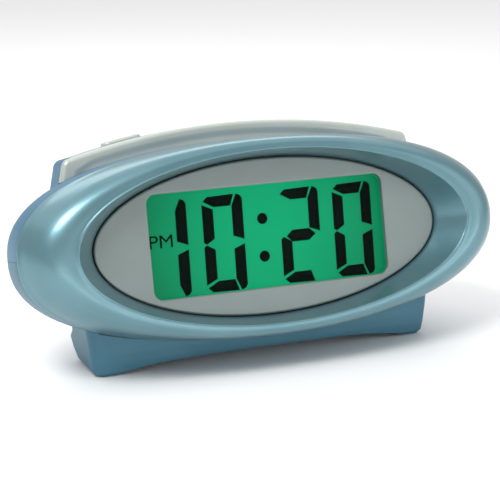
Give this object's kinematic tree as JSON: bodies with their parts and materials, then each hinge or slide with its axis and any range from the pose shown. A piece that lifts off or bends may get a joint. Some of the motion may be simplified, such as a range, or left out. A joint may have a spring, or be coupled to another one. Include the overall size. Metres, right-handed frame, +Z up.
{
  "type": "digital alarm clock",
  "caption": "Battery alarm clock with a wide oval face, a backlit display in a silver panel, a raised silver top with one button and an arched stand.",
  "frame": {"origin": "middle of the bounding box at the bottom of the rubber feet, on the table", "axes": "+X to the viewer's right along the display, -Y the way the face looks, +Z up"},
  "size_m": [0.1904, 0.0678, 0.0854],
  "materials": {
    "bezel_blue": "pearl blue lacquer on moulded plastic, satin",
    "panel_silver": "fine silver paint on moulded plastic, satin",
    "lens_clear": "clear acrylic, polished",
    "segment_black": "dark liquid-crystal segments",
    "lcd_green": "backlit green display cell",
    "inner_black": "black moulded plastic",
    "guide_clear": "frosted light guide",
    "led_green": "light-emitting diode body",
    "inner_rubber": "striped conductive rubber",
    "board_green": "circuit board with green solder mask",
    "epoxy_black": "black epoxy",
    "crystal_steel": "drawn steel can",
    "capacitor_sleeve": "dark blue shrink sleeve",
    "screw_steel": "zinc-plated steel",
    "cap_silver": "silver paint on moulded plastic, satin",
    "shell_blue": "fine-textured blue plastic",
    "base_blue": "fine-textured dark teal-blue plastic",
    "rear_blue": "fine-textured dark teal-blue plastic",
    "battery_sleeve": "plain printed sleeve and steel ends",
    "spring_nickel": "nickel-plated spring steel",
    "lead_pvc": "soft insulated wire",
    "sounder_black": "black plastic can",
    "switch_black": "black plastic switch body",
    "ribbon_grey": "flat ribbon cable",
    "switch_steel": "folded steel switch frame",
    "pad_rubber": "black rubber foot",
    "key_grey": "grey moulded key",
    "slider_black": "black moulded slider",
    "button_silver": "silver paint on moulded plastic, satin"
  },
  "bodies": {
    "case": {"front_bezel": "bezel_blue", "display_panel": "panel_silver", "display_lens": "lens_clear", "lcd_segments": "segment_black", "lcd_cell": "lcd_green", "lcd_holder": "inner_black", "backlight_guide": "guide_clear", "backlight_leds": "led_green", "zebra_strips": "inner_rubber", "main_board": "board_green", "controller_chip": "epoxy_black", "quartz_crystal": "crystal_steel", "capacitors": "capacitor_sleeve", "board_screws": "screw_steel", "top_cap": "cap_silver", "upper_shell": "shell_blue", "lower_shell": "base_blue", "case_screws": "screw_steel", "rear_cover": "rear_blue", "rear_screws": "screw_steel", "battery_cells": "battery_sleeve", "battery_springs": "spring_nickel", "battery_contacts": "spring_nickel", "battery_leads": "lead_pvc", "piezo_sounder": "sounder_black", "sounder_leads": "lead_pvc", "key_board": "board_green", "key_switches": "switch_black", "key_board_screws": "screw_steel", "key_ribbon": "ribbon_grey", "alarm_switch_body": "switch_steel", "snooze_switch": "switch_black", "snooze_board": "board_green", "foot_pads": "pad_rubber"},
    "battery_door": {"battery_door": "rear_blue"},
    "hour_key": {"hour_key": "key_grey"},
    "minute_key": {"minute_key": "key_grey"},
    "time_key": {"time_key": "key_grey"},
    "alarm_key": {"alarm_key": "key_grey"},
    "alarm_slider": {"alarm_slider": "slider_black"},
    "snooze_button": {"snooze_button": "button_silver"}
  },
  "joints": [
    {"name": "hour_key_press", "type": "slide", "parent": "case", "child": "hour_key", "axis": [0, -0.973, 0.2309], "range_m": [0, 0.0007], "stiffness_N_per_m": 400, "springref_m": -0.001},
    {"name": "minute_key_press", "type": "slide", "parent": "case", "child": "minute_key", "axis": [0, -0.973, 0.2309], "range_m": [0, 0.0007], "stiffness_N_per_m": 400, "springref_m": -0.001},
    {"name": "time_key_press", "type": "slide", "parent": "case", "child": "time_key", "axis": [0, -0.973, 0.2309], "range_m": [0, 0.0007], "stiffness_N_per_m": 400, "springref_m": -0.001},
    {"name": "alarm_key_press", "type": "slide", "parent": "case", "child": "alarm_key", "axis": [0, -0.973, 0.2309], "range_m": [0, 0.0007], "stiffness_N_per_m": 400, "springref_m": -0.001},
    {"name": "snooze_press", "type": "slide", "parent": "case", "child": "snooze_button", "axis": [0.1701, -0.2275, -0.9588], "range_m": [0, 0.0008], "stiffness_N_per_m": 500, "springref_m": -0.001},
    {"name": "alarm_switch_slide", "type": "slide", "parent": "case", "child": "alarm_slider", "axis": [1, 0, 0], "range_m": [0, 0.004]},
    {"name": "battery_door_off", "type": "slide", "parent": "case", "child": "battery_door", "axis": [0, 0.973, -0.2309], "range_m": [0, 0.03]}
  ]
}
